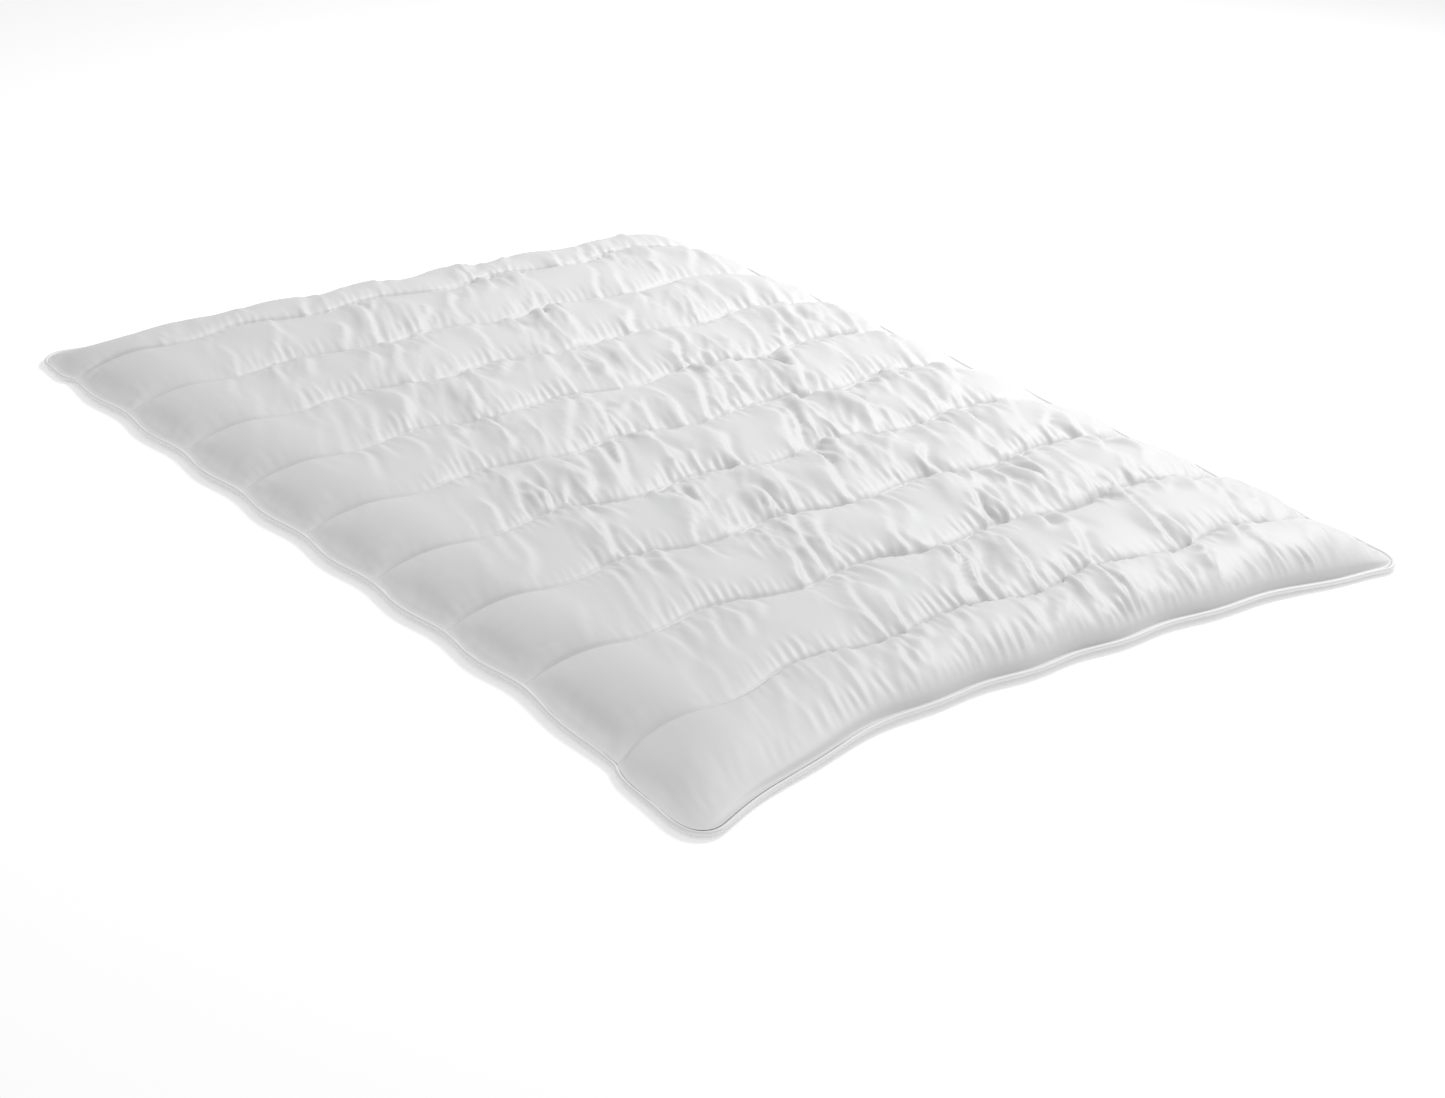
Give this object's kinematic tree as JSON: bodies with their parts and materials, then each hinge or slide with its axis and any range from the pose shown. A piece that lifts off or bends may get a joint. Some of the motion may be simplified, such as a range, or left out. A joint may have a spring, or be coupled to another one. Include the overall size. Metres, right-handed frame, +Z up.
{
  "type": "duvet",
  "caption": "Quilted duvet laid flat: satin cotton covers sewn through in gently waving channels, soft puffed filling and a corded piped edge; folds in half at the middle seam.",
  "frame": {"origin": "middle of the duvet's box at the level of its underside", "axes": "+Y from the foot end to the head end, +X across the width, +Z up"},
  "size_m": [1.4484, 2.0602, 0.065],
  "materials": {
    "cover": "white satin cotton, fine and softly shiny",
    "filling": "loose white fibre",
    "thread": "white polyester sewing thread",
    "cord": "twisted cotton filler cord",
    "piping": "white satin cotton cut on the bias"
  },
  "bodies": {
    "foot_half": {"channel_fill_06": "filling", "channel_fill_07": "filling", "channel_fill_08": "filling", "channel_fill_09": "filling", "channel_fill_10": "filling", "quilting_thread_top_5": "thread", "quilting_thread_top_6": "thread", "quilting_thread_top_7": "thread", "quilting_thread_top_8": "thread", "quilting_thread_top_9": "thread", "quilting_thread_bottom_5": "thread", "quilting_thread_bottom_6": "thread", "quilting_thread_bottom_7": "thread", "quilting_thread_bottom_8": "thread", "quilting_thread_bottom_9": "thread", "top_cover": "cover", "bottom_cover": "cover", "piping_cord": "cord", "piping_sleeve": "piping"},
    "head_half": {"channel_fill_01": "filling", "channel_fill_02": "filling", "channel_fill_03": "filling", "channel_fill_04": "filling", "channel_fill_05": "filling", "quilting_thread_top_1": "thread", "quilting_thread_top_2": "thread", "quilting_thread_top_3": "thread", "quilting_thread_top_4": "thread", "quilting_thread_bottom_1": "thread", "quilting_thread_bottom_2": "thread", "quilting_thread_bottom_3": "thread", "quilting_thread_bottom_4": "thread"}
  },
  "joints": [
    {"name": "middle_seam_fold", "type": "hinge", "parent": "foot_half", "child": "head_half", "pos_m": [0, 0.05756, 0.066], "axis": [1, 0, 0], "range_deg": [0, 180], "deforming": ["top_cover", "bottom_cover", "piping_cord", "piping_sleeve"]}
  ]
}
